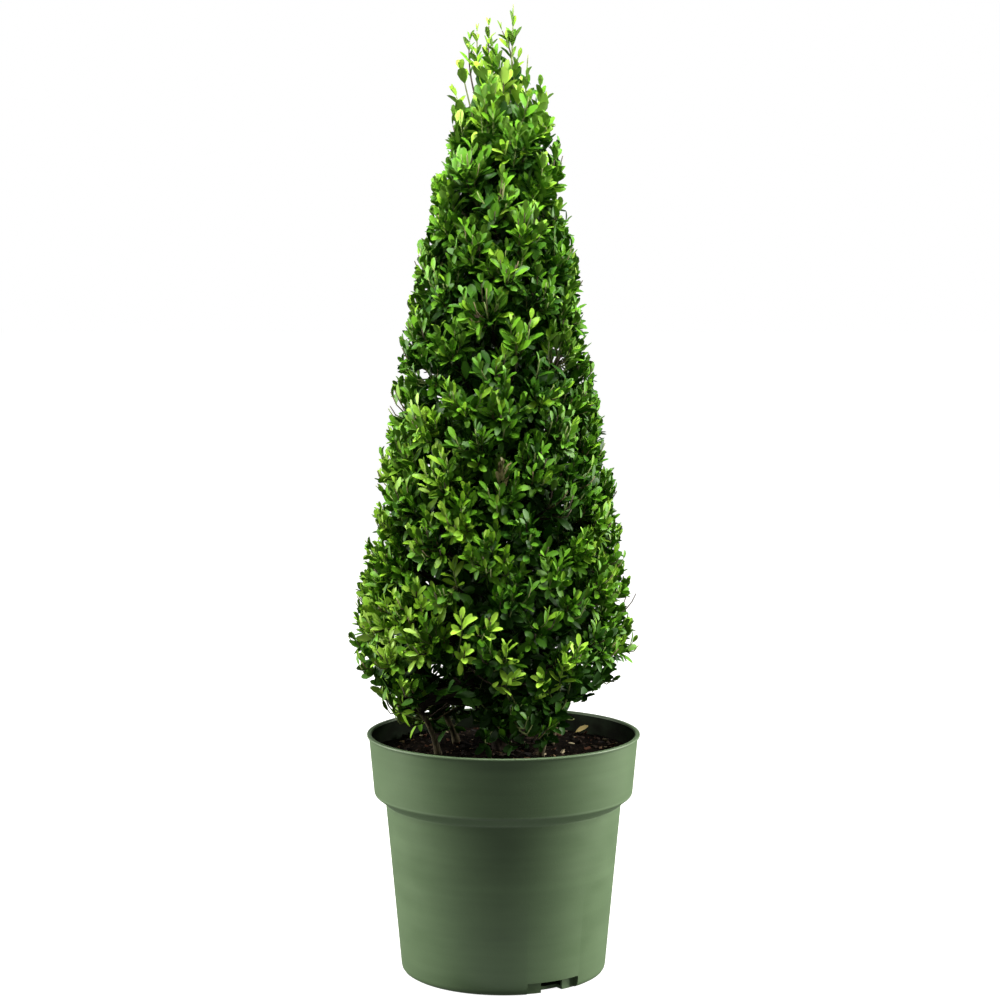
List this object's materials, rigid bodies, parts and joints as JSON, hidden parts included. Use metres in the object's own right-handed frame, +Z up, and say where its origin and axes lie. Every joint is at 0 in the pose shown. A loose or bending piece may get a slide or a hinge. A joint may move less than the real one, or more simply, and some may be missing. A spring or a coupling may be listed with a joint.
{
  "type": "potted japanese holly pyramid",
  "caption": "Small evergreen shrub clipped to a slim pyramid of tiny glossy leaves, growing on bare lower stems in a round green nursery pot filled with dark potting soil.",
  "frame": {"origin": "centre of the pot's flat underside, where it stands on the ground", "axes": "+Z up along the pot's axis, -Y towards the viewer of the picture, +X to that viewer's right"},
  "size_m": [0.1983, 0.1942, 0.6668],
  "materials": {
    "pot_plastic": "matte",
    "potting_soil": "matte",
    "bark": "matte",
    "foliage": "satin"
  },
  "bodies": {
    "root": {"pot": "pot_plastic", "soil": "potting_soil", "trunk": "bark", "side_stem_1": "bark", "side_stem_2": "bark", "side_stem_3": "bark", "side_stem_4": "bark", "side_stem_5": "bark", "lower_foliage_1": "foliage", "lower_foliage_2": "foliage", "lower_foliage_3": "foliage", "lower_foliage_4": "foliage", "lower_foliage_5": "foliage", "middle_foliage_1": "foliage", "middle_foliage_2": "foliage", "middle_foliage_3": "foliage", "middle_foliage_4": "foliage", "upper_foliage_1": "foliage", "upper_foliage_2": "foliage", "upper_foliage_3": "foliage", "top_foliage": "foliage"}
  },
  "joints": []
}
